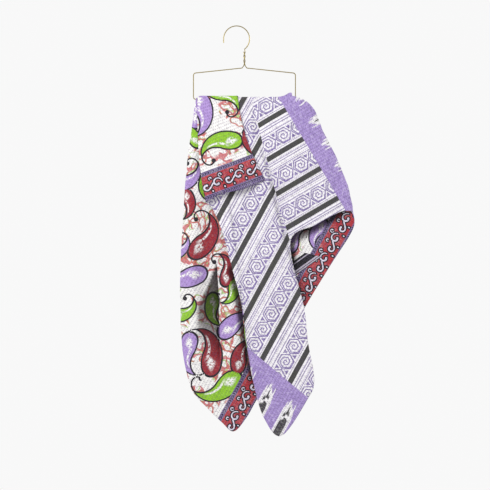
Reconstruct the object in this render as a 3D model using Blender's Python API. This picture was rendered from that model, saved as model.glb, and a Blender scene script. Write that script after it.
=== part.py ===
"""A kantha quilt hung over the bottom bar of a brass-coloured wire hanger.

The quilt is one sheet, folded in three before it was hung: a short flap in front, a main layer
behind it and an inner layer next to the bar. All three run over the bar and hang down behind.
Metres, +Z up, the front faces -Y. The origin is the seat of the hook, under its wire at its top.
"""

import math
from collections import namedtuple

import bmesh
import bpy
from mathutils import Vector

MM = 0.001

# Hanger wire
WIRE_R = 2.0 * MM
WIRE_SIDES = 3
HOOK_R = 53 * MM
HOOK_TAIL = 16 * MM
HOOK_END_DEG = -52
SHANK_X = 32 * MM
SHANK_TOP = -104 * MM
SHANK_BOTTOM = -160 * MM
TWIST_R = WIRE_R + 0.5 * MM
TWIST_TURNS = 1.5
ARM_INNER_Z = -170 * MM
ARM_OUTER_Z = -190 * MM
HALF_BAR = 208 * MM
BAR_Z = -298 * MM
CORNER_R = 10 * MM

# Quilt cloth
CLOTH_T = 2.4 * MM
STITCH_DIP = 0.3 * MM
INNER_LOOP_R = 4.8 * MM
LAYER_STEP = 4.6 * MM
FRONT_ROWS = 18
LOOP_ROWS = 6
BACK_ROWS = 10
BACK_DROP = 866 * MM
BACK_SLANT = 45 * MM
BACK_SPREAD = 0.04
BACK_OPENING = 15 * MM
BACK_LAYER_STEP = 8 * MM
WAVE_LENGTH = 150 * MM
WAVE_HEIGHT = 5 * MM

# Each row is one line of the cloth from the bar down to the front hem, in millimetres.
# layer: 0 on the bar, 1 main, 2 flap. top, mid and hem are the distances right of the bar's
# middle, drop is the hem's depth under the bar, and mid_y and hem_y are how far it stands forward.
Line = namedtuple("Line", "layer top mid hem drop mid_y hem_y")
LINES = (
    Line(2.0, -26, 10, 84, 333, 42, 62),
    Line(2.0, -75, -51, -6, 370, 44, 70),
    Line(2.0, -130, -112, -84, 386, 45, 74),
    Line(2.0, -176, -164, -133, 408, 44, 70),
    Line(1.5, -190, -184, -153, 423, 36, 56),
    Line(1.0, -176, -166, -133, 441, 28, 42),
    Line(1.0, -158, -138, -92, 533, 32, 46),
    Line(1.0, -140, -104, -47, 696, 38, 58),
    Line(1.0, -120, -66, -10, 839, 44, 66),
    Line(1.0, -100, -46, 10, 998, 48, 70),
    Line(1.0, -80, -24, 39, 1161, 50, 70),
    Line(1.0, -59, 4, 80, 1292, 54, 68),
    Line(1.0, -39, 44, 149, 1361, 58, 66),
    Line(1.0, -22, 92, 251, 1218, 66, 70),
    Line(1.0, -10, 112, 280, 1137, 70, 76),
    Line(1.0, 2, 116, 255, 982, 66, 84),
    Line(1.0, 14, 116, 239, 851, 56, 82),
    Line(1.0, 31, 102, 186, 582, 30, 40),
    Line(1.0, 84, 176, 290, 512, 40, 50),
    Line(1.0, 140, 266, 380, 463, 38, 46),
    Line(1.0, 176, 344, 424, 456, 36, 46),
    Line(0.5, 193, 364, 438, 466, 28, 38),
    Line(0.0, 176, 342, 440, 530, 18, 26),
    Line(0.0, 150, 244, 349, 676, 14, 20),
    Line(0.0, 112, 170, 243, 851, 16, 24),
    Line(0.0, 63, 110, 165, 1002, 16, 24),
    Line(0.0, 22, 56, 96, 1145, 16, 22),
    Line(0.0, -14, 12, 43, 1234, 18, 22),
    Line(0.0, -47, -22, 10, 1292, 22, 26),
    Line(0.0, -84, -66, -43, 1349, 26, 30),
    Line(0.0, -118, -116, -92, 1312, 26, 30),
    Line(0.0, -146, -156, -150, 1254, 30, 34),
    Line(0.0, -170, -196, -214, 1177, 36, 36),
    Line(0.0, -188, -232, -250, 1036, 34, 32),
    Line(0.0, -198, -250, -258, 946, 18, 14),
)

# Folds pressed into the lines above: at is the place in LINES, half the reach in lines,
# start and end are shares of the drop, and push is how far the cloth moves forward.
Fold = namedtuple("Fold", "at half start end push")
FOLDS = (
    Fold(30.3, 1.3, 0.42, 0.90, -34),
    Fold(32.2, 1.3, 0.30, 1.00, 30),
    Fold(28.6, 1.2, 0.40, 0.95, 16),
    Fold(17.0, 0.9, 0.20, 1.00, -8),
    Fold(7.5, 1.4, 0.25, 0.95, 10),
    Fold(23.0, 1.2, 0.35, 1.30, 10),
)

# The cloth swings out past the bar's right end, and is gathered up over it
SWING_AT = 21.0
SWING_HALF = 3.0
SWING_OUT = 38 * MM
SWING_F = 0.1
GATHER_AT = 20.2
GATHER_HALF = 1.4
GATHER_R = 9 * MM
LINE_SPLITS = 2


def clear_scene():
    for obj in list(bpy.data.objects):
        bpy.data.objects.remove(obj, do_unlink=True)


def material(name, colour, roughness, metallic=0.0):
    made = bpy.data.materials.new(name)
    made.use_nodes = True
    shader = made.node_tree.nodes["Principled BSDF"]
    shader.inputs["Base Color"].default_value = (*colour, 1.0)
    shader.inputs["Roughness"].default_value = roughness
    shader.inputs["Metallic"].default_value = metallic
    return made


def blend(values, place):
    """Catmull-Rom value at a place counted in entries of the list."""
    last = len(values) - 1
    i = min(int(place), last - 1)
    t = place - i
    a = values[max(i - 1, 0)]
    b = values[i]
    c = values[i + 1]
    d = values[min(i + 2, last)]
    return b + 0.5 * t * (c - a + t * (2 * a - 5 * b + 4 * c - d + t * (3 * (b - c) + d - a)))


def through_three(top, mid, hem, f):
    """The parabola that is top at f = 0, mid at 0.5 and hem at 1."""
    return top + f * (4 * mid - 3 * top - hem) + f * f * (2 * top + 2 * hem - 4 * mid)


def bump(distance):
    """1 at 0, falling smoothly to 0 at a distance of 1."""
    return 0.5 + 0.5 * math.cos(math.pi * min(abs(distance), 1.0))


def line_at(place):
    """One line of the cloth between the rows of LINES, in metres."""
    values = [blend([row[column] for row in LINES], place) for column in range(len(Line._fields))]
    return Line(values[0], *[value * MM for value in values[1:]])


def fold_push(place, f):
    total = 0.0
    for fold in FOLDS:
        middle = 0.5 * (fold.start + fold.end)
        reach = 0.5 * (fold.end - fold.start)
        total += fold.push * MM * bump((place - fold.at) / fold.half) * bump((f - middle) / reach)
    return total


def loop_radius(place):
    gathered = GATHER_R * bump((place - GATHER_AT) / GATHER_HALF)
    return INNER_LOOP_R + line_at(place).layer * LAYER_STEP + gathered


def swing(place, f):
    """How far the cloth swings out to the right at f down its front."""
    reach = f / SWING_F
    return SWING_OUT * bump((place - SWING_AT) / SWING_HALF) * reach * math.exp(1 - reach)


def front_point(place, f):
    """A point of the front, f = 0 at the bar and f = 1 at the hem."""
    line = line_at(place)
    forward = through_three(loop_radius(place), line.mid_y, line.hem_y, f) + fold_push(place, f)
    across = through_three(line.top, line.mid, line.hem, f) + swing(place, f)
    return Vector((SHANK_X + across, -forward, BAR_Z - f * line.drop))


def loop_point(place, turn):
    """A point of the loop over the bar, turn = 0 in front and 1 behind."""
    line = line_at(place)
    angle = math.pi * turn
    radius = loop_radius(place)
    return Vector((SHANK_X + line.top, -radius * math.cos(angle), BAR_Z + radius * math.sin(angle)))


def back_point(place, f):
    """A point of the back, f = 0 at the bar and f = 1 at the back hem."""
    line = line_at(place)
    opening = BACK_OPENING + line.layer * BACK_LAYER_STEP
    wave = WAVE_HEIGHT * math.sin(math.tau * line.top / WAVE_LENGTH)
    behind = loop_radius(place) + math.sin(0.5 * math.pi * f) * (opening + wave)
    drop = BACK_DROP + BACK_SLANT * math.sin(math.tau * line.top / (4 * HALF_BAR))
    return Vector((SHANK_X + line.top * (1 + BACK_SPREAD * f), behind, BAR_Z - f * drop))


def cloth_column(place):
    """The cloth's middle surface along one line, from the front hem over the bar to the back hem."""
    column = [front_point(place, 1 - i / FRONT_ROWS) for i in range(FRONT_ROWS)]
    column += [loop_point(place, i / LOOP_ROWS) for i in range(LOOP_ROWS)]
    column += [back_point(place, i / BACK_ROWS) for i in range(BACK_ROWS + 1)]
    return column


def surface_normal(grid, i, j):
    across = grid[min(i + 1, len(grid) - 1)][j] - grid[max(i - 1, 0)][j]
    along = grid[i][min(j + 1, len(grid[0]) - 1)] - grid[i][max(j - 1, 0)]
    return across.cross(along).normalized()


def sheet_mesh(grid):
    """A closed sheet about the grid, a little thinner on every second line, where the stitches pull."""
    mesh = bmesh.new()
    columns = len(grid)
    rows = len(grid[0])
    sides = ([], [])
    for i in range(columns):
        half = 0.5 * CLOTH_T - STITCH_DIP * (i % 2)
        for side, sign in zip(sides, (1, -1)):
            offset = [surface_normal(grid, i, j) * half * sign for j in range(rows)]
            side.append([mesh.verts.new(grid[i][j] + offset[j]) for j in range(rows)])
    upper, lower = sides
    for i in range(columns - 1):
        for j in range(rows - 1):
            mesh.faces.new((upper[i][j], upper[i + 1][j], upper[i + 1][j + 1], upper[i][j + 1]))
            mesh.faces.new((lower[i][j], lower[i][j + 1], lower[i + 1][j + 1], lower[i + 1][j]))
    for j in range(rows - 1):
        mesh.faces.new((upper[0][j], upper[0][j + 1], lower[0][j + 1], lower[0][j]))
        mesh.faces.new((upper[-1][j + 1], upper[-1][j], lower[-1][j], lower[-1][j + 1]))
    for i in range(columns - 1):
        mesh.faces.new((upper[i + 1][0], upper[i][0], lower[i][0], lower[i + 1][0]))
        mesh.faces.new((upper[i][-1], upper[i + 1][-1], lower[i + 1][-1], lower[i][-1]))
    bmesh.ops.recalc_face_normals(mesh, faces=mesh.faces)
    return mesh


def make_quilt():
    columns = (len(LINES) - 1) * LINE_SPLITS
    grid = [cloth_column(i / LINE_SPLITS) for i in range(columns + 1)]
    mesh = sheet_mesh(grid)
    data = bpy.data.meshes.new("quilt")
    mesh.to_mesh(data)
    mesh.free()
    data.shade_smooth()
    data.materials.append(material("quilt_cotton", (0.72, 0.62, 0.78), 0.9))
    quilt = bpy.data.objects.new("quilt", data)
    bpy.context.collection.objects.link(quilt)


def arc(centre_x, centre_z, radius, start_deg, end_deg, steps):
    """Points of an arc in the hanger's plane, its two ends included."""
    points = []
    for i in range(steps + 1):
        angle = math.radians(start_deg + (end_deg - start_deg) * i / steps)
        points.append(Vector((centre_x + radius * math.cos(angle), 0, centre_z + radius * math.sin(angle))))
    return points


def hook_path():
    """From the hook's tip over its top and down to the shank."""
    centre_z = WIRE_R - HOOK_R
    tip = Vector((-HOOK_R, 0, centre_z - HOOK_TAIL))
    return [tip] + arc(0, centre_z, HOOK_R, 180, HOOK_END_DEG, 26)


def twist_path(phase, downwards):
    """One of the two strands twisted about the shank."""
    steps = int(10 * TWIST_TURNS)
    points = []
    for i in range(steps + 1):
        share = i / steps
        angle = phase + math.tau * TWIST_TURNS * share
        height = SHANK_TOP + (SHANK_BOTTOM - SHANK_TOP) * share
        points.append(Vector((SHANK_X + TWIST_R * math.cos(angle), TWIST_R * math.sin(angle), height)))
    return points if downwards else points[::-1]


def frame_path():
    """Round the hanger's frame, from the shank's foot by the left arm and the bar to the right arm."""
    left = SHANK_X - HALF_BAR
    right = SHANK_X + HALF_BAR
    shoulder = ARM_OUTER_Z - CORNER_R
    sill = BAR_Z + CORNER_R
    path = [Vector((SHANK_X - CORNER_R, 0, ARM_INNER_Z))]
    path += arc(left + CORNER_R, shoulder, CORNER_R, 95, 180, 4)
    path += arc(left + CORNER_R, sill, CORNER_R, 180, 270, 4)
    path += arc(right - CORNER_R, sill, CORNER_R, 270, 360, 4)
    path += arc(right - CORNER_R, shoulder, CORNER_R, 0, 85, 4)
    return path + [Vector((SHANK_X + CORNER_R, 0, ARM_INNER_Z))]


def make_hanger():
    path = hook_path()
    path += twist_path(0, True)
    path += frame_path()
    path += twist_path(math.pi, False)
    curve = bpy.data.curves.new("hanger", "CURVE")
    curve.dimensions = "3D"
    spline = curve.splines.new("POLY")
    spline.points.add(len(path) - 1)
    for point, place in zip(spline.points, path):
        point.co = (*place, 1.0)
    curve.bevel_depth = WIRE_R
    curve.bevel_resolution = WIRE_SIDES - 1
    curve.use_fill_caps = True
    curve.materials.append(material("brass_wire", (0.62, 0.48, 0.25), 0.35, 1.0))
    hanger = bpy.data.objects.new("hanger", curve)
    bpy.context.collection.objects.link(hanger)


clear_scene()
make_hanger()
make_quilt()
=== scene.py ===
"""The looks of a kantha quilt hung over a wire hanger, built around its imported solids.

The quilt's sheet is made again on the folds of its solid, finer, with its two printed faces:
paisleys with a scroll border on one, and spiral stripes with dyed end bands on the other.
Metres, +Z up, the front faces -Y.
"""

import math
from collections import namedtuple

import bpy
import numpy as np
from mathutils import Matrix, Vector, noise


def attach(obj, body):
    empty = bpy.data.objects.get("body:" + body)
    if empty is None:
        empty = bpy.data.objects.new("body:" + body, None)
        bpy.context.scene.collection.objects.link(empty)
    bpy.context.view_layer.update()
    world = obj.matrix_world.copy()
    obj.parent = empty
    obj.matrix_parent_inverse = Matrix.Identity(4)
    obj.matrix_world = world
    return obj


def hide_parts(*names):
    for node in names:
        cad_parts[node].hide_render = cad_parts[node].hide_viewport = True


MM = 0.001
TINY = 1e-6

# Where the cloth hangs, as in the solids
SHANK_X = 32 * MM
BAR_Z = -298 * MM
HALF_BAR = 208 * MM
CLOTH_T = 2.4 * MM
INNER_LOOP_R = 4.8 * MM
LAYER_STEP = 4.6 * MM
BACK_DROP = 866 * MM
BACK_SLANT = 45 * MM
BACK_SPREAD = 0.04
BACK_OPENING = 15 * MM
BACK_LAYER_STEP = 8 * MM
WAVE_LENGTH = 150 * MM
WAVE_HEIGHT = 5 * MM
SWING_AT = 21.0
SWING_HALF = 3.0
SWING_OUT = 38 * MM
SWING_F = 0.1
GATHER_AT = 20.2
GATHER_HALF = 1.4
GATHER_R = 9 * MM
LIFT_AT = 20.9
LIFT_HALF = 1.5
LIFT = 13 * MM
LIFT_F = 0.05
LIFT_OUT = 16 * MM
RIPPLE = 5 * MM
RIPPLE_LENGTH = 0.55
RIPPLE_END = 0.26

# The finer sheet
LINE_SPLITS = 7
FRONT_ROWS = 136
LOOP_ROWS = 10
BACK_ROWS = 50
PUCKER = 1.8 * MM
PUCKER_SIZE = 26 * MM
CREASE = 4.5 * MM
CREASE_SIZE = 110 * MM
CREASE_NARROW = 1.6
CREASE_TALL = 0.7
CRUMPLE_SKEW = 0.6
CALM_HEIGHT = 120 * MM
CALM_SHARE = 0.12
HEM_BULGE = 0.25

# Each row is one line of the cloth from the bar down to the front hem, in millimetres.
# layer: 0 on the bar, 1 main, 2 flap. top, mid and hem are the distances right of the bar's
# middle, drop is the hem's depth under the bar, and mid_y and hem_y are how far it stands forward.
Line = namedtuple("Line", "layer top mid hem drop mid_y hem_y")
LINES = (
    Line(2.0, -26, 10, 84, 333, 42, 62),
    Line(2.0, -75, -51, -6, 370, 44, 70),
    Line(2.0, -130, -112, -84, 386, 45, 74),
    Line(2.0, -176, -164, -133, 408, 44, 70),
    Line(1.5, -190, -184, -153, 423, 36, 56),
    Line(1.0, -176, -166, -133, 441, 28, 42),
    Line(1.0, -158, -138, -92, 533, 32, 46),
    Line(1.0, -140, -104, -47, 696, 38, 58),
    Line(1.0, -120, -66, -10, 839, 44, 66),
    Line(1.0, -100, -46, 10, 998, 48, 70),
    Line(1.0, -80, -24, 39, 1161, 50, 70),
    Line(1.0, -59, 4, 80, 1292, 54, 68),
    Line(1.0, -39, 44, 149, 1361, 58, 66),
    Line(1.0, -22, 92, 251, 1218, 66, 70),
    Line(1.0, -10, 112, 280, 1137, 70, 76),
    Line(1.0, 2, 116, 255, 982, 66, 84),
    Line(1.0, 14, 116, 239, 851, 56, 82),
    Line(1.0, 31, 102, 186, 582, 30, 40),
    Line(1.0, 84, 176, 290, 512, 40, 50),
    Line(1.0, 140, 266, 380, 463, 38, 46),
    Line(1.0, 176, 344, 424, 456, 36, 46),
    Line(0.5, 193, 364, 438, 466, 28, 38),
    Line(0.0, 176, 342, 440, 530, 18, 26),
    Line(0.0, 150, 244, 349, 676, 14, 20),
    Line(0.0, 112, 170, 243, 851, 16, 24),
    Line(0.0, 63, 110, 165, 1002, 16, 24),
    Line(0.0, 22, 56, 96, 1145, 16, 22),
    Line(0.0, -14, 12, 43, 1234, 18, 22),
    Line(0.0, -47, -22, 10, 1292, 22, 26),
    Line(0.0, -84, -66, -43, 1349, 26, 30),
    Line(0.0, -118, -116, -92, 1312, 26, 30),
    Line(0.0, -146, -156, -150, 1254, 30, 34),
    Line(0.0, -170, -196, -214, 1177, 36, 36),
    Line(0.0, -188, -232, -250, 1036, 34, 32),
    Line(0.0, -198, -250, -258, 946, 18, 14),
)
FLAP_FOLD = 4
PLEAT = 17
WIDE_FOLD = 21

# Folds pressed into the lines above: at is the place in LINES, half the reach in lines,
# start and end are shares of the drop, and push is how far the cloth moves forward.
Fold = namedtuple("Fold", "at half start end push")
FOLDS = (
    Fold(32.2, 1.3, 0.30, 1.00, 30),
    Fold(28.6, 1.2, 0.40, 0.95, 16),
    Fold(17.0, 0.9, 0.20, 1.00, -8),
    Fold(7.5, 1.4, 0.25, 0.95, 10),
    Fold(23.0, 1.2, 0.35, 1.30, 10),
)

# The deep tuck in the inner layer, in LINES and shares of the drop: it falls away to the left of
# its lip, which overhangs it, and opens downwards as far as the line named far, which it reaches
# at a share of its own height.
TUCK_LIP = 29.93
TUCK_FAR = 31.8
TUCK_START = 0.50
TUCK_END = 0.82
TUCK_OPEN = 0.6
TUCK_DEPTH = 37 * MM
TUCK_UNDER = 15 * MM

# The inner layer's painted shade: dark in its tuck, less so towards the tuck's foot, and a painted
# shadow beside the main layer's edges, which run through these pixels of the photograph
TUCK_SHADE = 0.985
TUCK_LIGHTER = 0.42
TUCK_SIDE = 0.12
TUCK_FADE_IN = 0.05
TUCK_FADE_OUT = 0.25
EDGE_SHADE = 0.9
SHADED_EDGES = (
    ((233, 271), (239, 292), (242, 313), (247, 344), (255, 378)),
    ((291, 262), (289, 240), (301, 234), (322, 223), (338, 213)),
)
SHADE_REACH = 8.0
SHADE_TINT = (0.06, 0.045, 0.05)

# Colours of the print, as they show in the photograph
STUDIO_LIGHT = 1.15


def srgb(red, green, blue):
    """A linear colour that shows with these 0 to 255 screen values in the studio's light."""
    shares = [value / 255 for value in (red, green, blue)]
    linear = [s / 12.92 if s <= 0.04045 else ((s + 0.055) / 1.055) ** 2.4 for s in shares]
    return tuple(value / STUDIO_LIGHT for value in linear)


GROUND = srgb(247, 245, 245)
GROUND_WARM = srgb(240, 239, 233)
GROUND_COOL = srgb(235, 231, 240)
INK = srgb(16, 14, 20)
CHARCOAL = srgb(40, 40, 38)
ASH = srgb(84, 84, 80)
PURPLE = srgb(104, 78, 158)
LILAC = srgb(172, 142, 208)
DYE_PALE = srgb(190, 166, 226)
DYE_DEEP = srgb(128, 102, 174)
TRIM_DARK = srgb(34, 28, 60)
TRIM_PALE = srgb(146, 124, 182)
RED = srgb(150, 12, 28)
SCARLET = srgb(194, 38, 46)
SCROLL_WHITE = srgb(226, 220, 236)
GREEN = srgb(140, 196, 14)
WHITE = srgb(246, 245, 243)
THREAD = srgb(150, 134, 170)
BRASS = srgb(178, 164, 112)
BRASS_DARK = srgb(130, 114, 66)

# The photograph's frame: pixels of 4.08 mm at the hanger, seen from 4.5 m
FRAME_PIXELS = 490
PIXEL = 4.08 * MM
HOOK_SEAT_PIXEL = (236.6, 26.4)
CAMERA_DISTANCE = 4.5
SENSOR_WIDTH = 36.0
CLOTH_FORWARD = 40 * MM


def from_photo(x, y):
    """Where a pixel of the photograph lies on the cloth: across, and up from the bar."""
    scale = PIXEL * (1 - CLOTH_FORWARD / CAMERA_DISTANCE)
    middle = 0.5 * FRAME_PIXELS
    across = (middle - HOOK_SEAT_PIXEL[0]) * PIXEL + (x - middle) * scale
    up = (HOOK_SEAT_PIXEL[1] - middle) * PIXEL + (middle - y) * scale
    return across, up - BAR_Z


# Paisleys in the photograph: the pixels of the bulb's middle and of the pointed tip.
# flip is 1 where they turn anticlockwise from bulb to tip.
Motif = namedtuple("Motif", "bulb_x bulb_y tip_x tip_y flip tint")
FLAP_MOTIFS = (
    Motif(199, 104, 195, 136, -1, LILAC),
    Motif(220, 93, 238, 111, -1, GREEN),
    Motif(227, 142, 202, 157, 1, GREEN),
    Motif(256, 147, 246, 127, -1, RED),
)
INNER_MOTIFS = (
    Motif(193, 138, 175, 128, 1, GREEN),
    Motif(182, 182, 198, 163, 1, LILAC),
    Motif(187, 199, 183, 219, -1, RED),
    Motif(208, 179, 210, 201, 1, GREEN),
    Motif(201, 244, 208, 213, 1, RED),
    Motif(176, 252, 187, 236, 1, LILAC),
    Motif(191, 275, 161, 269, -1, LILAC),
    Motif(226, 275, 219, 254, 1, RED),
    Motif(181, 314, 194, 298, 1, GREEN),
    Motif(213, 305, 222, 326, 1, GREEN),
    Motif(233, 288, 221, 303, -1, GREEN),
    Motif(231, 328, 259, 322, -1, LILAC),
    Motif(189, 347, 196, 375, 1, LILAC),
    Motif(210, 359, 196, 329, 1, RED),
    Motif(240, 361, 255, 341, -1, RED),
    Motif(226, 384, 194, 391, -1, GREEN),
    Motif(176, 400, 198, 420, -1, LILAC),
    Motif(294, 243, 308, 229, -1, LILAC),
    Motif(320, 229, 317, 250, 1, LILAC),
    Motif(288, 262, 302, 280, 1, GREEN),
)

# The paisleys' tints, and the even field of paisleys where none show
FIELD_TINTS = (GREEN, RED, LILAC)
FIELD_ACROSS = range(-3, 5)
FIELD_UP = range(-9, 7)
FIELD_STEP = (150 * MM, 170 * MM)
FIELD_LENGTH = 120 * MM
FIELD_CLEAR = 150 * MM
FIELD_TURN = (1.9, 0.8)

# The paisley's outline is a spiral whose body narrows to a curl: how tightly it winds, its half
# width, where in radians the body and the curl end and where the bulb is cut, the power by which
# the body narrows, and the reach and turn of its tip from its bulb
COIL = 0.45
BODY_WIDTH = 0.42
BODY_END = 1.9
BODY_TAPER = 1.8
CURL_END = 5.3
CUT_ANGLE = -0.8
TIP_REACH = 1.207
TIP_TURN = math.radians(160.5)
OUTLINE = 3.5 * MM
FILL_INK = 0.7
DOT_R = 9.0 * MM

# The two pale marks on a paisley's body: where they are across its spiral and around it, with
# how far they reach and how soft their edges are
Glint = namedtuple("Glint", "spine spine_half spine_soft angle angle_half angle_soft")
LONG_GLINT = Glint(-0.14, 0.06, 0.05, 0.45, 0.55, 0.3)
ROUND_GLINT = Glint(0.08, 0.14, 0.1, -0.08, 0.13, 0.08)

# Patches of thin wandering lines between the paisleys
Scribble = namedtuple("Scribble", "seed width colour")
SCRIBBLES = (
    Scribble(9.0, 0.018, srgb(160, 196, 84)),
    Scribble(2.0, 0.034, srgb(196, 52, 60)),
)
SCRIBBLE_SOFT = 0.012
SCRIBBLE_SHARE = 0.85

# The printed stripes, in millimetres from the start of the charcoal one
STRIPE_PITCH = 141.0
Band = namedtuple("Band", "start end")
CHARCOAL_BAND = Band(0.0, 21.0)
THIN_LINES = (Band(31.5, 34.5), Band(40.5, 43.5), Band(58.5, 61.5), Band(133.5, 135.0))
SPIRAL_MIDDLE = 98.0
SPIRAL_PITCH = 70.0
SPIRAL_R = 28.6
SPIRAL_TURN = 12.3
SPIRAL_LINE = 2.2
TRIANGLE_SLOPE = 1.73
TRIANGLE_START = 11.0
TRIANGLE_END = 27.0

# How dark the thin lines stay where they are broken, and how the charcoal's slubs are stretched
BROKEN_SHARE = 0.6
SLUB_STRETCH = 0.3

# How the stripes lie on the main layer's two parts: slope in degrees, real pitch and the first
# stripe's middle across them, the first spiral's middle along them, the dyed end band's edge
# along them and its lean, the first dyed figure's middle, and which way the band lies from its
# edge. Millimetres.
Lie = namedtuple("Lie", "slope pitch first spiral edge lean figure way")
MAIN_LIE = Lie(61.5, 142.0, 25.0, -419.0, -762.0, 0.195, 683.0, -1)
SIDE_LIE = Lie(30.3, 138.8, 0.0, 88.0, 151.0, 0.0, 242.0, 1)
END_BAND = 230.0
DYE_ACROSS = 2.0
DYE_ALONG = 0.8

# The dyed band's figures: how far in from its edge they start at their middle, how much further
# to each side, their half width and how far their threads are out of line. Millimetres.
FIGURE_PITCH = 103.0
THREAD_STEP = 4.5
Flame = namedtuple("Flame", "start slope half jag")
WHITE_FLAME = Flame(18.0, 2.2, 25.0, 44.0)
INK_FLAME = Flame(56.0, 3.2, 15.0, 40.0)
WHITE_SHARE = 0.92
NOTCH_AT = 138.0
NOTCH_HALF = 7.0
NOTCH_JAG = 22.0

# The scroll border, in millimetres in from the hem
OUTER_TRIM = 22.0
RED_STRIP = 76.0
INNER_TRIM = 18.0
SCROLL_PITCH = 92.0
BRAID_PITCH = 11.0
BRAID_HALF = 2.0
BRAID_SLOPE = 1.2
BRAID_SHARE = 0.8
RAIL_IN = 1.2
RAIL_HALF = 1.4
RAIL_SHARE = 0.7

# Hooks of the scroll: the middle, the two ends' radius and half width, the start and the sweep
Hook = namedtuple("Hook", "x y start_r end_r start_w end_w start sweep")
HOOKS = (
    Hook(0, -8, 8.0, 13.0, 3.8, 2.2, 70, 265),
    Hook(46, -2, 8.0, 20.0, 4.0, 1.6, -70, -290),
    Hook(66, 24, 4.5, 7.5, 2.2, 1.3, -10, 280),
    Hook(24, 22, 3.5, 6.0, 2.0, 1.3, -10, 250),
)

# How sharply a hook is cut past its end, how round its bulb is in half widths of its start, the
# tail that joins two hooks, and the seeds between them
HOOK_CUT = 60.0
HOOK_BULB = 1.1
Tail = namedtuple("Tail", "from_x from_y to_x to_y half")
TAIL = Tail(10.0, -17.0, 31.0, 2.0, 2.6)
SEEDS = ((69, -28), (18, -30))
SEED_R = 2.6
SEED_SQUASH = 0.7
SCROLL_OUTLINE = 5.0

# The patch of stripes that a tuck turns outwards, in painted shade: the direction up across its
# stripes along and in from the border's line, where it starts, its height, its two ends, and its
# dark lines, the last a painted shadow along its top
PATCH_RISE = (0.42, 0.907)
PATCH_START = (560.0, 390.0)
PATCH_HEIGHT = 53.0
PATCH_END = 119.0
PATCH_LEFT = -60.0
PATCH_SLANT = 0.85
PATCH_LINES_AND_SHADOW = (Band(-1.0, 3.0), Band(8.0, 10.5), Band(17.0, 40.0), Band(44.0, 54.0))
PATCH_SHADED_PALE = srgb(188, 180, 196)

# The rows of running stitch, in millimetres, and the painted shade in the grooves they pull in
STITCH_PITCH = 12.5
STITCH_LENGTH = 8.0
STITCH_SHOWN = 4.32
ROW_WOBBLE = 6.0
ROW_SHIFT = 3.7
THREAD_HALF = 0.9
GROOVE_HALF = 2.6
GROOVE_SHADE = 0.36
GROOVE_SHADE_TINT = (0.42, 0.36, 0.46)

# The puckers between the rows, with the painted shade in their hollows, and the heights of the
# relief in its own unit
PUCKER_ACROSS = 0.6
PUCKER_ALONG = 1.4
HOLLOW_SHADE = 0.32
HOLLOW_SHADE_TINT = (0.10, 0.08, 0.13)
WEAVE_RATE = 2.6
RELIEF_UNIT = 1.3 * MM
PUCKER_RELIEF = 2.4
GROOVE_RELIEF = 0.7
WEAVE_RELIEF = 0.06
THREAD_RELIEF = 0.4

# How much of the print the wear, the painted light on the puckers' crests and the thread cover
Shares = namedtuple("Shares", "plain on_ink")
WEAR = Shares(0.14, 0.028)
CREST_LIGHT = Shares(0.18, 0.02)
THREAD_COVER = Shares(0.55, 0.10)

# Kinds of smooth noise over the cloth's millimetres
Noise = namedtuple("Noise", "scale detail seed")
GROUND_NOISE = Noise(0.02, 2.0, 1.0)
ROW_NOISE = Noise(0.02, 1.0, 3.0)
PUCKER_NOISE = Noise(0.13, 2.5, 11.0)
WEAR_NOISE = Noise(0.30, 3.0, 7.0)
BROKEN_NOISE = Noise(0.35, 2.0, 2.0)
SLUB_NOISE = Noise(0.4, 2.0, 6.0)
DYE_NOISE = Noise(0.1, 3.0, 4.0)
STRIP_NOISE = Noise(0.09, 3.0, 9.0)
GLINT_NOISE = Noise(0.12, 3.0, 8.0)

# The wire's grain
WIRE_GRAIN = 90.0
WIRE_DETAIL = 3.0
WIRE_SMOOTHEST = 0.24
WIRE_ROUGHEST = 0.42

# The studio, in metres and watts
FLOOR_R = 1.2
FLOOR_Z = -2.25
FLOOR_SIDES = 64
FLOOR_COLOUR = (0.85, 0.85, 0.85, 1.0)
WORLD_COLOUR = (0.97, 0.97, 0.97, 1.0)
WORLD_STRENGTH = 0.97
Lamp = namedtuple("Lamp", "name place size power")
LAMPS = (Lamp("key", (-1.6, -2.8, 0.9), 1.4, 70), Lamp("rim", (2.2, 1.6, 0.6), 1.2, 25))
LAMPS_AIM = (0.03, 0, -0.85)


def blend(values, place):
    """Catmull-Rom value at a place counted in entries of the list."""
    last = len(values) - 1
    i = min(int(place), last - 1)
    t = place - i
    a = values[max(i - 1, 0)]
    b = values[i]
    c = values[i + 1]
    d = values[min(i + 2, last)]
    return b + 0.5 * t * (c - a + t * (2 * a - 5 * b + 4 * c - d + t * (3 * (b - c) + d - a)))


def through_three(top, mid, hem, f):
    """The parabola that is top at f = 0, mid at 0.5 and hem at 1."""
    return top + f * (4 * mid - 3 * top - hem) + f * f * (2 * top + 2 * hem - 4 * mid)


def bump(distance):
    """1 at 0, falling smoothly to 0 at a distance of 1."""
    return 0.5 + 0.5 * np.cos(np.pi * np.minimum(np.abs(distance), 1.0))


def line_at(place):
    """One line of the cloth between the rows of LINES, in metres."""
    values = [blend([row[column] for row in LINES], place) for column in range(len(Line._fields))]
    return Line(values[0], *[value * MM for value in values[1:]])


def tuck_places(place, f):
    """How far down the inner layer's tuck each point of one line is, and how far across it from
    its far side to its lip, both from 0 to 1."""
    down = np.clip((f - TUCK_START) / (TUCK_END - TUCK_START), 0, 1)
    reach = (TUCK_FAR - TUCK_LIP) * np.minimum(down / TUCK_OPEN, 1) + TINY
    across = np.clip(1 - (place - TUCK_LIP) / reach, 0, 1)
    return down, across * (place > TUCK_LIP)


def tuck_depth(place, f):
    """How deep the inner layer's tuck is at one line, from 0 to 1."""
    down, across = tuck_places(place, f)
    return across * np.sqrt(np.sin(np.pi * down))


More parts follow.
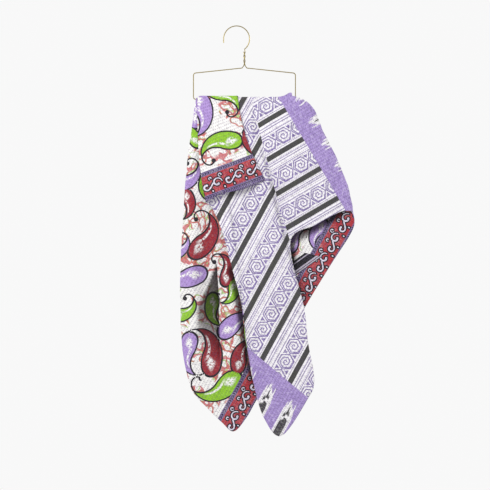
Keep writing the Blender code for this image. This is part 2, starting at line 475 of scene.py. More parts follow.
def tuck_shade(place, f):
    """How much painted shade darkens the tuck at one line: most at its top, with a sharp far side.
    """
    down, across = tuck_places(place, f)
    ends = np.minimum(down / TUCK_FADE_IN, 1) * np.minimum((1 - down) / TUCK_FADE_OUT, 1)
    darkness = TUCK_SHADE - TUCK_LIGHTER * down**1.5
    return darkness * np.minimum(across / TUCK_SIDE, 1) * ends


def rise_and_fade(f, peak):
    """A share that is 0 at the bar and 1 at the peak, and dies away below it."""
    return f / peak * np.exp(1 - f / peak)


def lifted_height(f, drop, lift):
    """The height of points down one line, with the lift at the bar dying away below it."""
    return BAR_Z - f * drop + lift * np.exp(-((f / LIFT_F) ** 2))


def front_forward(place, line, radius, f):
    """How far forward of the bar each point of one line's front stands."""
    forward = through_three(radius, line.mid_y, line.hem_y, f)
    for fold in FOLDS:
        middle = 0.5 * (fold.start + fold.end)
        reach = 0.5 * (fold.end - fold.start)
        pushed = fold.push * MM * bump((place - fold.at) / fold.half)
        forward += pushed * bump((f - middle) / reach)
    from_gather = place - GATHER_AT
    ripple = math.sin(math.tau * from_gather / RIPPLE_LENGTH) * bump(from_gather / GATHER_HALF)
    forward += RIPPLE * ripple * bump((2 * f - RIPPLE_END) / RIPPLE_END)
    return forward - TUCK_DEPTH * tuck_depth(place, f)


def front_across(place, line, f):
    """How far right of the shank each point of one line's front lies."""
    across = through_three(line.top, line.mid, line.hem, f)
    across += TUCK_UNDER * tuck_depth(place, f)
    across += SWING_OUT * bump((place - SWING_AT) / SWING_HALF) * rise_and_fade(f, SWING_F)
    across += LIFT_OUT * bump((place - LIFT_AT) / LIFT_HALF) * rise_and_fade(f, LIFT_F)
    return across


def back_part(line, flat_radius, radius, lift):
    """Points of one line down the back, from the bar to the hem."""
    f = np.arange(BACK_ROWS + 1) / BACK_ROWS
    opening = BACK_OPENING + line.layer * BACK_LAYER_STEP
    wave = WAVE_HEIGHT * math.sin(math.tau * line.top / WAVE_LENGTH)
    behind = radius + np.sin(0.5 * np.pi * f) * (opening + wave)
    drop = BACK_DROP + BACK_SLANT * math.sin(math.tau * line.top / (4 * HALF_BAR))
    spread = SHANK_X + line.top * (1 + BACK_SPREAD * f)
    height = np.pi * flat_radius + f * BACK_DROP
    return np.stack([spread, behind, lifted_height(f, drop, lift), height], 1)


def cloth_column(place):
    """Points of one line from the front hem to the back hem, with how far each is above the bar
    when the cloth is laid flat."""
    line = line_at(place)
    flat_radius = INNER_LOOP_R + line.layer * LAYER_STEP
    radius = flat_radius + GATHER_R * bump((place - GATHER_AT) / GATHER_HALF)
    lift = LIFT * bump((place - LIFT_AT) / LIFT_HALF)
    f = 1 - np.arange(FRONT_ROWS) / FRONT_ROWS
    across = SHANK_X + front_across(place, line, f)
    forward = front_forward(place, line, radius, f)
    front = np.stack([across, -forward, lifted_height(f, line.drop, lift), -f * line.drop], 1)
    angle = np.pi * np.arange(LOOP_ROWS) / LOOP_ROWS
    over_bar = np.full(LOOP_ROWS, SHANK_X + line.top)
    up = BAR_Z + lift + radius * np.sin(angle)
    loop = np.stack([over_bar, -radius * np.cos(angle), up, flat_radius * angle], 1)
    return np.concatenate([front, loop, back_part(line, flat_radius, radius, lift)])


def grid_normals(points):
    across = np.gradient(points, axis=0)
    along = np.gradient(points, axis=1)
    normals = np.cross(across, along)
    return normals / np.linalg.norm(normals, axis=2, keepdims=True)


def crumple(points, height):
    """How far each point moves along its normal, from small puckers and longer creases."""
    columns, rows = height.shape
    moved = np.zeros((columns, rows))
    for i in range(columns):
        for j in range(rows):
            x, y, z = points[i, j]
            place = Vector((x + CRUMPLE_SKEW * y, y, z))
            upright = Vector((place.x * CREASE_NARROW, place.y, place.z * CREASE_TALL))
            small = noise.noise(place / PUCKER_SIZE)
            large = noise.noise(upright / CREASE_SIZE)
            moved[i, j] = PUCKER * small + CREASE * large
    return moved * np.clip(np.abs(height) / CALM_HEIGHT, CALM_SHARE, 1.0)


def hem_thickness(columns, rows):
    """The sheet's half thickness, fuller just inside its hems and thin at the very edge."""
    i = np.minimum(np.arange(columns), np.arange(columns)[::-1])[:, None]
    j = np.minimum(np.arange(rows), np.arange(rows)[::-1])[None, :]
    inside = np.minimum(i + 0 * j, j + 0 * i)
    half = np.full((columns, rows), 0.5 * CLOTH_T)
    half[inside == 0] *= 0.5
    half[(inside == 1) | (inside == 2)] *= 1 + HEM_BULGE
    return half


def stripe_print(x, h, lie):
    """Places on the striped face: across and along the stripes, in from the dyed end band's edge
    and across its figures."""
    slope = math.radians(lie.slope)
    across = (math.sin(slope) * x - math.cos(slope) * h) / MM
    along = (math.cos(slope) * x + math.sin(slope) * h) / MM
    edge = lie.way * (along + lie.lean * across - lie.edge)
    across_print = (across - lie.first) * STRIPE_PITCH / lie.pitch
    stripes = np.stack([across_print, along - lie.spiral], -1)
    return stripes * MM, np.stack([edge, across - lie.figure], -1) * MM


def hem_line(low, high):
    """The border's line through two pixels of the photograph, as its start and direction."""
    origin = np.array(from_photo(*low))
    direction = np.array(from_photo(*high)) - origin
    return origin, direction / np.linalg.norm(direction)


FLAP_HEM = hem_line((212, 200), (265, 180))
INNER_HEM = hem_line((242.3, 433.5), (356.4, 230.1))
MAIN_HEM = hem_line((281, 436), (312, 385))

# The paisley side's regions: the first and last line, the border's line and the paisleys shown
REGIONS = (
    (0, FLAP_FOLD, FLAP_HEM, FLAP_MOTIFS),
    (FLAP_FOLD, WIDE_FOLD, MAIN_HEM, ()),
    (WIDE_FOLD, len(LINES), INNER_HEM, INNER_MOTIFS),
)


def border_print(x, h, hem):
    """Places on the paisley face along a bordered hem, and how far in from it."""
    origin, direction = hem
    offset = np.stack([x, h], -1) - origin
    along = offset @ direction
    inwards = offset @ np.array([-direction[1], direction[0]])
    return np.stack([along, inwards], -1)


# A paisley on the flattened cloth: its coil's middle, its size, its turn and its tint
Placed = namedtuple("Placed", "x h size turn flip tint")


def place_motif(bulb, tip, flip, tint):
    """The paisley whose bulb and tip are at two places on the flattened cloth."""
    reach = math.dist(bulb, tip)
    size = reach / TIP_REACH
    turn = math.atan2(tip[1] - bulb[1], tip[0] - bulb[0]) - flip * TIP_TURN
    x = bulb[0] - size * math.cos(turn)
    h = bulb[1] - size * math.sin(turn)
    return Placed(x, h, size, turn, flip, tint)


def shown_motif(motif):
    """A paisley of the photograph on the flattened cloth."""
    bulb = from_photo(motif.bulb_x, motif.bulb_y)
    tip = from_photo(motif.tip_x, motif.tip_y)
    return place_motif(bulb, tip, motif.flip, motif.tint)


def spare_motif(i, j, middle):
    """A paisley of the field around a middle, turned by its place in the field."""
    turn = FIELD_TURN[0] * i + FIELD_TURN[1] * j
    half = 0.5 * FIELD_LENGTH
    offset = (half * math.cos(turn), half * math.sin(turn))
    bulb = (middle[0] + offset[0], middle[1] + offset[1])
    tip = (middle[0] - offset[0], middle[1] - offset[1])
    flip = 1 if j % 2 else -1
    return place_motif(bulb, tip, flip, FIELD_TINTS[(i + 2 * j) % 3])


def field_motifs(shown):
    """The paisleys that show in front, and an even field of them where there are none."""
    placed = [shown_motif(motif) for motif in shown]
    taken = [from_photo(0.5 * (m.bulb_x + m.tip_x), 0.5 * (m.bulb_y + m.tip_y)) for m in shown]
    for i in FIELD_ACROSS:
        for j in FIELD_UP:
            middle = ((i + 0.5 * (j % 2)) * FIELD_STEP[0], j * FIELD_STEP[1])
            if all(math.dist(middle, place) > FIELD_CLEAR for place in taken):
                placed.append(spare_motif(i, j, middle))
    return placed


def motif_place(x, h, motif):
    """Flattened places in a paisley's own axes, where its coil's middle is the origin."""
    dx = (x - motif.x) / motif.size
    dh = (h - motif.h) / motif.size
    c = math.cos(motif.turn)
    s = math.sin(motif.turn)
    return np.stack([c * dx + s * dh, (c * dh - s * dx) * motif.flip], -1)


def motif_distance(place, size):
    """Roughly how far places are outside a paisley's body or curl, for choosing the nearest."""
    radius = np.hypot(place[..., 0], place[..., 1]) + TINY
    angle = np.arctan2(place[..., 1], place[..., 0])
    angle = np.where(angle < CUT_ANGLE, angle + math.tau, angle)
    spine = np.log(radius) + COIL * angle
    head = np.hypot(np.minimum(angle, 0.0), spine) - BODY_WIDTH
    width = BODY_WIDTH * (1 - np.clip(angle / BODY_END, 0, 1) ** BODY_TAPER)
    return np.where(angle < 0, head, np.abs(spine) - width) * radius * size


def edge_distance(x, h):
    """How far places on the flattened cloth are from the main layer's edges."""
    nearest = np.full(x.shape, 1.0)
    for edge in SHADED_EDGES:
        corners = [from_photo(*pixel) for pixel in edge]
        for (x0, h0), (x1, h1) in zip(corners, corners[1:]):
            dx = x1 - x0
            dh = h1 - h0
            t = np.clip(((x - x0) * dx + (h - h0) * dh) / (dx * dx + dh * dh), 0, 1)
            nearest = np.minimum(nearest, np.hypot(x - x0 - t * dx, h - h0 - t * dh))
    return nearest


def fold_shade(points_x, height, places):
    """How much painted shade darkens the inner layer at each point of the grid: in its tuck, and
    as a painted shadow beside the main layer's edges.
    """
    near = bump(edge_distance(points_x, height) / (SHADE_REACH * PIXEL))
    shade = EDGE_SHADE * np.minimum(2 * near, 1)
    f = 1 - np.arange(FRONT_ROWS) / FRONT_ROWS
    for i, place in enumerate(places):
        shade[i, :FRONT_ROWS] = np.maximum(shade[i, :FRONT_ROWS], tuck_shade(place, f))
    shade[places < WIDE_FOLD] = 0
    shade[:, FRONT_ROWS:] = 0
    return shade


def motif_print(x, h, motifs):
    """The places of each face's corners in the axes of its nearest paisley, and that paisley's
    number."""
    middle_x = x.mean(1)
    middle_h = h.mean(1)
    far = [motif_distance(motif_place(middle_x, middle_h, m), m.size) for m in motifs]
    nearest = np.argmin(far, 0)
    places = np.zeros((len(x), 4, 2))
    for number, motif in enumerate(motifs):
        here = nearest == number
        places[here] = motif_place(x[here], h[here], motif)
    return places, nearest


def quilt_faces(columns, rows):
    """Quads of the striped side, the paisley side and the rim, as arrays of point numbers."""
    i, j = np.meshgrid(np.arange(columns - 1), np.arange(rows - 1), indexing="ij")
    a = (i * rows + j).ravel()
    quad = np.stack([a, a + rows, a + rows + 1, a + 1], 1)
    other = quad[:, ::-1] + columns * rows
    edge = [k * rows for k in range(columns)]
    edge += [(columns - 1) * rows + k for k in range(1, rows)]
    edge += [k * rows + rows - 1 for k in range(columns - 2, -1, -1)]
    edge += list(range(rows - 2, 0, -1))
    ring = np.array(edge)
    after = np.roll(ring, -1)
    low = columns * rows
    rim = np.stack([after, ring, ring + low, after + low], 1)
    return quad, other, rim


def sheet_corners(points, height):
    """The corners of the striped side and then of the paisley side, puckered and creased."""
    normals = grid_normals(points)
    moved = points + normals * crumple(points, height)[:, :, None]
    normals = grid_normals(moved)
    half = hem_thickness(*height.shape)[:, :, None]
    striped_side = (moved + normals * half).reshape(-1, 3)
    paisley_side = (moved - normals * half).reshape(-1, 3)
    return np.concatenate([striped_side, paisley_side])


def print_maps(x, h, column, striped):
    """Where the corners of each face lie in the print. On the paisley side: along the hem and in
    from it, in the nearest paisley's axes, and that paisley's tint and size. On the striped
    side: across and along the stripes, and in the dyed band."""
    along_hem = np.zeros((len(x), 4, 2))
    in_motif = np.zeros((len(x), 4, 2))
    kind = np.zeros((len(x), 4, 2))
    for start, end, hem, shown in REGIONS:
        here = (column >= start) & (column < end) & ~striped
        motifs = field_motifs(shown)
        along_hem[here] = border_print(x[here], h[here], hem)
        in_motif[here], nearest = motif_print(x[here], h[here], motifs)
        kinds = np.array([(FIELD_TINTS.index(m.tint), m.size) for m in motifs])
        kind[here] = kinds[nearest][:, None]
    for chosen, lie in ((column < PLEAT, MAIN_LIE), (column >= PLEAT, SIDE_LIE)):
        here = chosen & striped
        along_hem[here], in_motif[here] = stripe_print(x[here], h[here], lie)
    return {"print": along_hem, "motif": in_motif, "kind": kind}


def make_quilt():
    """The quilt's cloth, as one closed sheet with a print on each side."""
    places = np.arange((len(LINES) - 1) * LINE_SPLITS + 1) / LINE_SPLITS
    grid = np.stack([cloth_column(place) for place in places])
    points = grid[:, :, :3]
    height = grid[:, :, 3]
    columns, rows = height.shape
    striped_side, paisley_side, rim = quilt_faces(columns, rows)
    faces = np.concatenate([striped_side, paisley_side, rim])
    data = bpy.data.meshes.new("quilt_cloth")
    data.from_pydata(sheet_corners(points, height).tolist(), [], faces.tolist())
    data.update()

    x = np.tile(points[:, :, 0].ravel(), 2)[faces]
    h = np.tile(height.ravel(), 2)[faces]
    column = places[(faces.min(1) % (columns * rows)) // rows]
    striped = np.arange(len(faces)) < len(striped_side)
    maps = print_maps(x, h, column, striped)
    # The inner layer's painted shade and painted shadow, carried to the material as a map
    shade = np.tile(fold_shade(points[:, :, 0], height, places).ravel(), 2)[faces]
    maps["shade"] = np.stack([shade, 0 * shade], -1)
    for name, values in maps.items():
        layer = data.uv_layers.new(name=name)
        layer.data.foreach_set("uv", values.astype(np.float32).ravel())

    data.materials.append(paisley_material())
    data.materials.append(stripe_material())
    data.polygons.foreach_set("material_index", striped.astype(np.int32))
    data.shade_smooth()
    quilt = bpy.data.objects.new("quilt_cloth", data)
    bpy.context.scene.collection.objects.link(quilt)
    return quilt


class Value:
    """A number in a shader: arithmetic on it adds Math nodes."""

    def __init__(self, tree, socket):
        self.tree = tree
        self.socket = socket

    def math(self, operation, *others):
        node = self.tree.nodes.new("ShaderNodeMath")
        node.operation = operation
        for place, item in enumerate((self, *others)):
            if isinstance(item, Value):
                self.tree.links.new(item.socket, node.inputs[place])
            else:
                node.inputs[place].default_value = item
        return Value(self.tree, node.outputs[0])

    def __add__(self, other):
        return self.math("ADD", other)

    def __sub__(self, other):
        return self.math("SUBTRACT", other)

    def __mul__(self, other):
        return self.math("MULTIPLY", other)

    def absolute(self):
        return self.math("ABSOLUTE")

    def fraction(self):
        return self.math("FRACT")

    def least(self, other):
        return self.math("MINIMUM", other)

    def most(self, other):
        return self.math("MAXIMUM", other)

    def under(self, limit, soft=0.6):
        """1 where this is under the limit, 0 where it is over, with an edge soft units wide."""
        node = self.tree.nodes.new("ShaderNodeMapRange")
        difference = self - limit
        self.tree.links.new(difference.socket, node.inputs["Value"])
        node.inputs["From Min"].default_value = -0.5 * soft
        node.inputs["From Max"].default_value = 0.5 * soft
        node.inputs["To Min"].default_value = 1.0
        node.inputs["To Max"].default_value = 0.0
        return Value(self.tree, node.outputs["Result"])

    def inverse(self):
        return self.math("MULTIPLY_ADD", -1.0, 1.0)

    def within(self, band, soft=0.6):
        middle = 0.5 * (band.start + band.end)
        return (self - middle).absolute().under(0.5 * (band.end - band.start), soft)

    def wrapped(self, pitch):
        """Distance from the nearest multiple of the pitch, with its sign."""
        return ((self * (1 / pitch) + 0.5).fraction() - 0.5) * pitch


def uv_values(tree, name, scale):
    """The two coordinates of a UV map, times a scale."""
    uv = tree.nodes.new("ShaderNodeUVMap")
    uv.uv_map = name
    parts = tree.nodes.new("ShaderNodeSeparateXYZ")
    tree.links.new(uv.outputs["UV"], parts.inputs[0])
    return [Value(tree, parts.outputs[i]) * scale for i in range(2)]


def noise_value(tree, x, y, kind):
    """Smooth noise of one kind, from 0 to 1, over two coordinates."""
    join = tree.nodes.new("ShaderNodeCombineXYZ")
    tree.links.new(x.socket, join.inputs[0])
    tree.links.new(y.socket, join.inputs[1])
    join.inputs[2].default_value = kind.seed
    texture = tree.nodes.new("ShaderNodeTexNoise")
    texture.inputs["Scale"].default_value = kind.scale
    texture.inputs["Detail"].default_value = kind.detail
    tree.links.new(join.outputs[0], texture.inputs["Vector"])
    return Value(tree, texture.outputs["Fac"])


def mix(tree, share, under, over, mode="MIX"):
    """A colour over another by a share, where each colour is a socket or a fixed colour."""
    node = tree.nodes.new("ShaderNodeMix")
    node.data_type = "RGBA"
    node.blend_type = mode
    tree.links.new(share.socket, node.inputs[0])
    for place, colour in ((6, under), (7, over)):
        if isinstance(colour, tuple):
            node.inputs[place].default_value = (*colour, 1.0)
        else:
            tree.links.new(colour, node.inputs[place])
    return node.outputs[2]


def cloth_material(name):
    made = bpy.data.materials.new(name)
    made.use_nodes = True
    tree = made.node_tree
    shader = tree.nodes["Principled BSDF"]
    shader.inputs["Roughness"].default_value = 0.88
    shader.inputs["Specular IOR Level"].default_value = 0.25
    shader.inputs["Sheen Weight"].default_value = 0.1
    shader.inputs["Sheen Roughness"].default_value = 0.5
    return made, tree, shader


def stitch_rows(tree, across, along):
    """Rows of running stitch: where thread shows, and the groove that the rows pull in."""
    wobble = noise_value(tree, across, along, ROW_NOISE) * ROW_WOBBLE - 0.5 * ROW_WOBBLE
    place = across + wobble
    off_row = place.wrapped(STITCH_PITCH).absolute()
    row = (place * (1 / STITCH_PITCH) + 0.5).math("FLOOR")
    step = along + row * ROW_SHIFT
    dash = step.wrapped(STITCH_LENGTH).absolute().under(0.5 * STITCH_SHOWN, 1.0)
    thread = off_row.under(THREAD_HALF, 0.8) * dash
    groove = off_row.under(GROOVE_HALF, 3.0) * dash
    return thread, groove


def by_ink(ink, shares):
    """A share that changes from its plain value to its value on ink."""
    return ink * (shares.on_ink - shares.plain) + shares.plain


def finish_cloth(tree, shader, colour, ink, across, along):
    """Adds the relief that both faces share, and returns the print's colour with the thread and
    the wear, painted shade in the puckers' hollows and the stitch grooves, and painted light on
    the puckers' crests. Ink wears less."""
    thread, groove = stitch_rows(tree, across, along)
    pucker = noise_value(tree, across * PUCKER_ACROSS, along * PUCKER_ALONG, PUCKER_NOISE)
    worn = noise_value(tree, across, along, WEAR_NOISE).under(0.42, 0.2)
    hollow = pucker.under(0.42, 0.2)
    crest = pucker.under(0.60, 0.2).inverse()
    colour = mix(tree, worn * by_ink(ink, WEAR), colour, WHITE)
    # Painted shade in the puckers' hollows, then painted light on their crests
    colour = mix(tree, hollow * HOLLOW_SHADE, colour, HOLLOW_SHADE_TINT)
    colour = mix(tree, crest * by_ink(ink, CREST_LIGHT), colour, WHITE)
    # Painted shade in the grooves that the stitch rows pull in
    colour = mix(tree, groove * GROOVE_SHADE, colour, GROOVE_SHADE_TINT, "MULTIPLY")
    colour = mix(tree, thread * by_ink(ink, THREAD_COVER), colour, THREAD)
    weave = (across * WEAVE_RATE).math("SINE") * (along * WEAVE_RATE).math("SINE")
    relief = pucker * PUCKER_RELIEF - groove * GROOVE_RELIEF
    relief = relief + weave * WEAVE_RELIEF + thread * THREAD_RELIEF
    node = tree.nodes.new("ShaderNodeBump")
    node.inputs["Strength"].default_value = 1.0
    node.inputs["Distance"].default_value = RELIEF_UNIT
    tree.links.new(relief.socket, node.inputs["Height"])
    tree.links.new(node.outputs["Normal"], shader.inputs["Normal"])
    return colour


def spiral_band(tree, across, along):
    """Ink of a row of six-sided spirals with small triangles between them."""
    y = across - SPIRAL_MIDDLE
    x = along.wrapped(SPIRAL_PITCH)
    radius = (x * x + y * y).math("SQRT")
    angle = y.math("ARCTAN2", x)
    sector = math.pi / 3
    off_side = (angle + math.pi / 6).wrapped(sector)
    six_sided = radius * off_side.math("COSINE")
    turns = (six_sided - SPIRAL_R) * (1 / SPIRAL_TURN) + angle * (1 / math.tau)
    line = (turns.wrapped(1.0).absolute() * SPIRAL_TURN).under(SPIRAL_LINE)
    outer = (six_sided - SPIRAL_R).absolute().under(SPIRAL_LINE)
    spiral = (line * six_sided.under(SPIRAL_R)).most(outer)
    to_edge = x.absolute() * -1.0 + 0.5 * SPIRAL_PITCH
    beside = (to_edge * TRIANGLE_SLOPE + TRIANGLE_START - y.absolute()).under(0.0, 1.0)
    tip = beside * y.absolute().under(TRIANGLE_END)
    return spiral.most(tip)


def random_value(tree, number, seed):
    """A random number from 0 to 1 for each whole number."""
    texture = tree.nodes.new("ShaderNodeTexWhiteNoise")
    texture.noise_dimensions = "1D"
    tree.links.new((number + seed).socket, texture.inputs["W"])
    return Value(tree, texture.outputs["Value"])


def flame(side, edge, jag, shape):
    """One jagged figure, by how far places are to its side and in from the band's edge."""
    inside = (side * shape.slope + shape.start + jag * shape.jag - edge).under(0.0, 6.0)
    return inside * side.under(shape.half, 1.0)


def dyed_figure(tree, edge, along_figure):
    """Shares of white and of ink in the dyed band's jagged figures."""
    x = along_figure.wrapped(FIGURE_PITCH)
    thread = (x * (1 / THREAD_STEP)).math("FLOOR")
    jag = random_value(tree, thread, 0.5)
    other = random_value(tree, thread, 90.5)
    side = x.absolute()
    white = flame(side, edge, jag, WHITE_FLAME)
    ink = flame(side, edge, other, INK_FLAME)
    notch = (edge - NOTCH_AT + jag * NOTCH_JAG).absolute().under(NOTCH_HALF, 3.0)
    return white * WHITE_SHARE, ink * notch.inverse()


def stripe_material():
    made, tree, shader = cloth_material("kantha_stripe")
    across, along = uv_values(tree, "print", 1 / MM)
    edge, figure = uv_values(tree, "motif", 1 / MM)
    shift = 0.5 * CHARCOAL_BAND.end / STRIPE_PITCH
    repeat = (across * (1 / STRIPE_PITCH) + shift).fraction() * STRIPE_PITCH
    tone = noise_value(tree, across, along, GROUND_NOISE)
    colour = mix(tree, tone, GROUND, GROUND_COOL)
    lines = repeat.within(THIN_LINES[0])
    for band in THIN_LINES[1:]:
        lines = lines.most(repeat.within(band))
    lines = lines.most(spiral_band(tree, repeat, along))
    broken = noise_value(tree, across, along, BROKEN_NOISE).under(0.56, 0.3)
    colour = mix(tree, lines * (broken * (1 - BROKEN_SHARE) + BROKEN_SHARE), colour, PURPLE)
    slub = noise_value(tree, across, along * SLUB_STRETCH, SLUB_NOISE)
    charcoal = mix(tree, slub, CHARCOAL, ASH)
    colour = mix(tree, repeat.within(CHARCOAL_BAND), colour, charcoal)
    white, ink = dyed_figure(tree, edge, figure)
    uneven = noise_value(tree, across * DYE_ACROSS, along * DYE_ALONG, DYE_NOISE)
    dye = mix(tree, uneven, DYE_PALE, DYE_DEEP)
    dye = mix(tree, white, dye, WHITE)
    dye = mix(tree, ink, dye, CHARCOAL)
    in_band = edge.within(Band(0.0, END_BAND), 1.0)
    colour = mix(tree, in_band, colour, dye)
    ink = repeat.within(CHARCOAL_BAND) * in_band.inverse()
    colour = finish_cloth(tree, shader, colour, ink, across, along)
    tree.links.new(colour, shader.inputs["Base Color"])
    return made


def highlight(spine, angle, spot):
    """A pale mark on a paisley's body, in its spiral's own coordinates."""
    over_spine = (spine - spot.spine).absolute().under(spot.spine_half, spot.spine_soft)
    over_angle = (angle - spot.angle).absolute().under(spot.angle_half, spot.angle_soft)
    return over_spine * over_angle


def paisley(tree, x, y, size):
    """Shares of body, outline and highlight of one paisley, in its own axes."""
    radius = (x * x + y * y).math("SQRT")
    angle = y.math("ARCTAN2", x)
    angle = angle + angle.under(CUT_ANGLE, 0.001) * math.tau
    spine = radius.math("LOGARITHM", math.e) + angle * COIL
    low = angle.least(0.0)
    head = (low * low + spine * spine).math("SQRT") - BODY_WIDTH
    taper = (angle * (1 / BODY_END)).most(0.0).least(1.0).math("POWER", BODY_TAPER)
    tail = spine.absolute() - taper.inverse() * BODY_WIDTH
    is_tail = angle.under(0.0, 0.001).inverse()
    shape = (head * is_tail.inverse() + tail * is_tail) * radius * size
    fill = shape.under(0.0) * angle.under(BODY_END, 0.02)
    curl = angle.under(CURL_END, 0.02)
    outline = shape.absolute().under(OUTLINE / MM, 0.8) * curl
    end_r = math.exp(-COIL * CURL_END)
    dot_x = (x - end_r * math.cos(CURL_END)) * size
    dot_y = (y - end_r * math.sin(CURL_END)) * size
    dot = (dot_x * dot_x + dot_y * dot_y).math("SQRT").under(DOT_R / MM, 0.8)
    pale = highlight(spine, angle, LONG_GLINT).most(highlight(spine, angle, ROUND_GLINT))
    return fill, outline.most(dot), pale


def scribbles(tree, x, y, scribble):
    """Thin wandering lines, in patches."""
    first = noise_value(tree, x, y, Noise(0.017, 1.0, scribble.seed))
    second = noise_value(tree, y, x, Noise(0.022, 0.8, scribble.seed + 5.0))
    line = (first - 0.5).absolute().under(scribble.width, SCRIBBLE_SOFT)
    line = line.most((second - 0.48).absolute().under(scribble.width, SCRIBBLE_SOFT))
    patch = noise_value(tree, x, y, Noise(0.012, 1.0, scribble.seed + 20.0)).under(0.51, 0.03)
    return line * patch


def hook_distance(tree, along, y, hook):
    """How far a place is outside the stroke of one hook of the scroll."""
    dx = (along - hook.x).wrapped(SCROLL_PITCH)
    dy = y - hook.y
    radius = (dx * dx + dy * dy).math("SQRT")
    angle = dy.math("ARCTAN2", dx)
    way = 1 if hook.sweep > 0 else -1
    from_start = angle * (way / math.tau) - way * hook.start / 360
    share = from_start.fraction() * (360 / abs(hook.sweep))
    within = share.least(1.0)
    middle = within * (hook.end_r - hook.start_r) + hook.start_r
    half = within * (hook.end_w - hook.start_w) + hook.start_w
    past_end = (share - 1.0).most(0.0) * HOOK_CUT
    stroke = (radius - middle).absolute() - half + past_end
    bulb_x = dx - hook.start_r * math.cos(math.radians(hook.start))
    bulb_y = dy - hook.start_r * math.sin(math.radians(hook.start))
    bulb = (bulb_x * bulb_x + bulb_y * bulb_y).math("SQRT") - hook.start_w * HOOK_BULB
    return stroke.least(bulb)


def tail_distance(tree, along, y):
    """How far a place is outside the straight tail that joins two hooks."""
    length = math.hypot(TAIL.to_x - TAIL.from_x, TAIL.to_y - TAIL.from_y)
    dir_x = (TAIL.to_x - TAIL.from_x) / length
    dir_y = (TAIL.to_y - TAIL.from_y) / length
    dx = (along - 0.5 * (TAIL.from_x + TAIL.to_x)).wrapped(SCROLL_PITCH)
    dy = y - 0.5 * (TAIL.from_y + TAIL.to_y)
    forward = (dx * dir_x + dy * dir_y).absolute() - 0.5 * length
    sideways = (dx * dir_y - dy * dir_x).absolute()
    return forward.most(0.0) + sideways - TAIL.half


def scroll_distance(tree, along, y):
    """How far a place is outside the scroll's strokes and seeds."""
    outside = tail_distance(tree, along, y)
    for hook in HOOKS:
        outside = outside.least(hook_distance(tree, along, y, hook))
    for seed_x, seed_y in SEEDS:
        dx = (along - seed_x).wrapped(SCROLL_PITCH)
        dy = (y - seed_y) * SEED_SQUASH
        outside = outside.least((dx * dx + dy * dy).math("SQRT") - SEED_R)
    return outside


def trim_colour(tree, along, from_middle):
    """The braided trim, by how far places are from its middle."""
    braid = (along + from_middle * BRAID_SLOPE).wrapped(BRAID_PITCH).absolute()
    braid = braid.under(BRAID_HALF, 1.0)
    rails = (from_middle - 0.5 * INNER_TRIM + RAIL_IN).absolute().under(RAIL_HALF, 0.8)
    return mix(tree, braid.most(rails * RAIL_SHARE) * BRAID_SHARE, TRIM_DARK, TRIM_PALE)


def scroll_border(tree, along, inwards, colour, outline):
    """The red strip with white scrolls, between two braided trims, and where its ink is."""
    strip = mix(tree, noise_value(tree, along, inwards, STRIP_NOISE), RED, SCARLET)
    y = inwards - (OUTER_TRIM + 0.5 * RED_STRIP)
    outside = scroll_distance(tree, along, y)
    strip = mix(tree, outside.under(SCROLL_OUTLINE, 0.8), strip, INK)
    strip = mix(tree, outside.under(0.0, 0.8), strip, SCROLL_WHITE)
    from_middle = (y.absolute() - 0.5 * (RED_STRIP + INNER_TRIM)).absolute()
    in_trim = y.absolute().under(0.5 * RED_STRIP).inverse()
    strip = mix(tree, in_trim, strip, trim_colour(tree, along, from_middle))
    in_border = inwards.under(OUTER_TRIM + RED_STRIP + INNER_TRIM)
    off_outline = (outside - 0.5 * SCROLL_OUTLINE).absolute()
    ink = off_outline.under(0.5 * SCROLL_OUTLINE) * in_trim.inverse()
    ink = ink * in_border + outline * in_border.inverse()
    return mix(tree, in_border, colour, strip), ink


def turned_patch(tree, along, inwards, colour):
    """The corner of the striped side that a tuck turns outwards above the right-hand border, in
    painted shade with a painted shadow along its top.
    """
    up = along * PATCH_RISE[0] + inwards * PATCH_RISE[1] - PATCH_START[1]
    right = along * PATCH_RISE[1] - inwards * PATCH_RISE[0] - PATCH_START[0]
    lines = up.within(PATCH_LINES_AND_SHADOW[0])
    for band in PATCH_LINES_AND_SHADOW[1:]:
        lines = lines.most(up.within(band))
    # Painted shade: a shaded pale and ink for the shaded charcoal, with the top band a painted
    # shadow
    stripes = mix(tree, lines, PATCH_SHADED_PALE, INK)
    inside = up.within(Band(0.0, PATCH_HEIGHT)) * (right + up * PATCH_SLANT).under(PATCH_END)
    inside = inside * right.under(PATCH_LEFT).inverse()
    return mix(tree, inside, colour, stripes), inside


def paisley_material():
    made, tree, shader = cloth_material("kantha_paisley")
    along, inwards = uv_values(tree, "print", 1 / MM)
    x, y = uv_values(tree, "motif", 1.0)
    tint_number, size = uv_values(tree, "kind", 1.0)
    size = size * (1 / MM)
    # The painted shade of the inner layer's tuck and the painted shadow beside the main layer's
    # edges
    shade, _ = uv_values(tree, "shade", 1.0)
    tone = noise_value(tree, along, inwards, GROUND_NOISE)
    colour = mix(tree, tone, GROUND, GROUND_WARM)
    for scribble in SCRIBBLES:
        lines = scribbles(tree, along, inwards, scribble)
        colour = mix(tree, lines * SCRIBBLE_SHARE, colour, scribble.colour)
    fill, outline, glint = paisley(tree, x, y, size)
    rough = noise_value(tree, along, inwards, GLINT_NOISE).under(0.56, 0.06)
    tint = mix(tree, tint_number.under(0.5, 0.001), RED, GREEN)
    tint = mix(tree, tint_number.under(1.5, 0.001).inverse(), tint, LILAC)
    colour = mix(tree, fill, colour, tint)
    colour = mix(tree, fill * glint * rough, colour, WHITE)
    colour = mix(tree, outline, colour, INK)
    colour, ink = scroll_border(tree, along, inwards, colour, outline)
    colour, patch = turned_patch(tree, along, inwards, colour)
    ink = ink.most(patch).most(fill * FILL_INK)
    colour = finish_cloth(tree, shader, colour, ink, inwards, along)
    # Painted shade in the tuck and painted shadow beside the main layer's edges
    colour = mix(tree, shade, colour, SHADE_TINT, "MULTIPLY")
    tree.links.new(colour, shader.inputs["Base Color"])
    return made


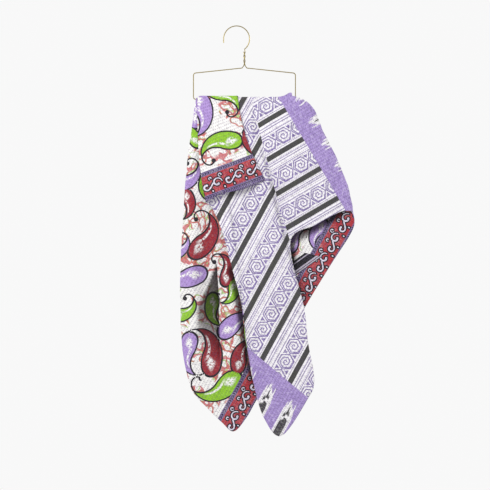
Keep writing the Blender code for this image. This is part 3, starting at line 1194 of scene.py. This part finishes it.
def brass_material():
    made = bpy.data.materials.new("brass_wire")
    made.use_nodes = True
    tree = made.node_tree
    shader = tree.nodes["Principled BSDF"]
    shader.inputs["Metallic"].default_value = 1.0
    coords = tree.nodes.new("ShaderNodeTexCoord")
    texture = tree.nodes.new("ShaderNodeTexNoise")
    texture.inputs["Scale"].default_value = WIRE_GRAIN
    texture.inputs["Detail"].default_value = WIRE_DETAIL
    tree.links.new(coords.outputs["Object"], texture.inputs["Vector"])
    tone = Value(tree, texture.outputs["Fac"])
    tree.links.new(mix(tree, tone, BRASS, BRASS_DARK), shader.inputs["Base Color"])
    rough = tone * (WIRE_ROUGHEST - WIRE_SMOOTHEST) + WIRE_SMOOTHEST
    tree.links.new(rough.socket, shader.inputs["Roughness"])
    return made


def make_stage():
    turns = [math.tau * k / FLOOR_SIDES for k in range(FLOOR_SIDES)]
    rim = [(FLOOR_R * math.cos(turn), FLOOR_R * math.sin(turn), FLOOR_Z) for turn in turns]
    data = bpy.data.meshes.new("floor")
    data.from_pydata(rim, [], [list(range(FLOOR_SIDES))])
    pale = bpy.data.materials.new("pale_floor")
    pale.use_nodes = True
    shader = pale.node_tree.nodes["Principled BSDF"]
    shader.inputs["Base Color"].default_value = FLOOR_COLOUR
    shader.inputs["Roughness"].default_value = 0.9
    data.materials.append(pale)
    floor = bpy.data.objects.new("floor", data)
    bpy.context.scene.collection.objects.link(floor)


def make_lights():
    world = bpy.data.worlds.new("studio")
    world.use_nodes = True
    background = world.node_tree.nodes["Background"]
    background.inputs["Color"].default_value = WORLD_COLOUR
    background.inputs["Strength"].default_value = WORLD_STRENGTH
    bpy.context.scene.world = world
    bpy.context.scene.view_settings.view_transform = "Standard"
    for lamp in LAMPS:
        data = bpy.data.lights.new(lamp.name, "AREA")
        data.energy = lamp.power
        data.size = lamp.size
        light = bpy.data.objects.new(lamp.name, data)
        light.location = lamp.place
        aim = Vector(LAMPS_AIM) - Vector(lamp.place)
        light.rotation_euler = aim.to_track_quat("-Z", "Y").to_euler()
        bpy.context.scene.collection.objects.link(light)


def make_camera():
    data = bpy.data.cameras.new("camera")
    data.sensor_width = SENSOR_WIDTH
    data.lens = SENSOR_WIDTH * CAMERA_DISTANCE / (FRAME_PIXELS * PIXEL)
    camera = bpy.data.objects.new("camera", data)
    x = (0.5 * FRAME_PIXELS - HOOK_SEAT_PIXEL[0]) * PIXEL
    z = (HOOK_SEAT_PIXEL[1] - 0.5 * FRAME_PIXELS) * PIXEL
    camera.location = (x, -CAMERA_DISTANCE, z)
    camera.rotation_euler = (0.5 * math.pi, 0, 0)
    bpy.context.scene.collection.objects.link(camera)
    bpy.context.scene.camera = camera


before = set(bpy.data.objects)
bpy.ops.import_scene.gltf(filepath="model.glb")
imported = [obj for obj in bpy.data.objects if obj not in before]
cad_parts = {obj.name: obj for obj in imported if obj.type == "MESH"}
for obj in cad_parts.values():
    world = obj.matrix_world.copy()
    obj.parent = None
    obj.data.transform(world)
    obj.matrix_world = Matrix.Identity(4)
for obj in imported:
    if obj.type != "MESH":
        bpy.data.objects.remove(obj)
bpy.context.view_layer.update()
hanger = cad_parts["hanger"]
hanger.data.materials[0] = brass_material()
quilt = make_quilt()
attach(quilt, "root")
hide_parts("quilt")
make_stage()
make_lights()
make_camera()
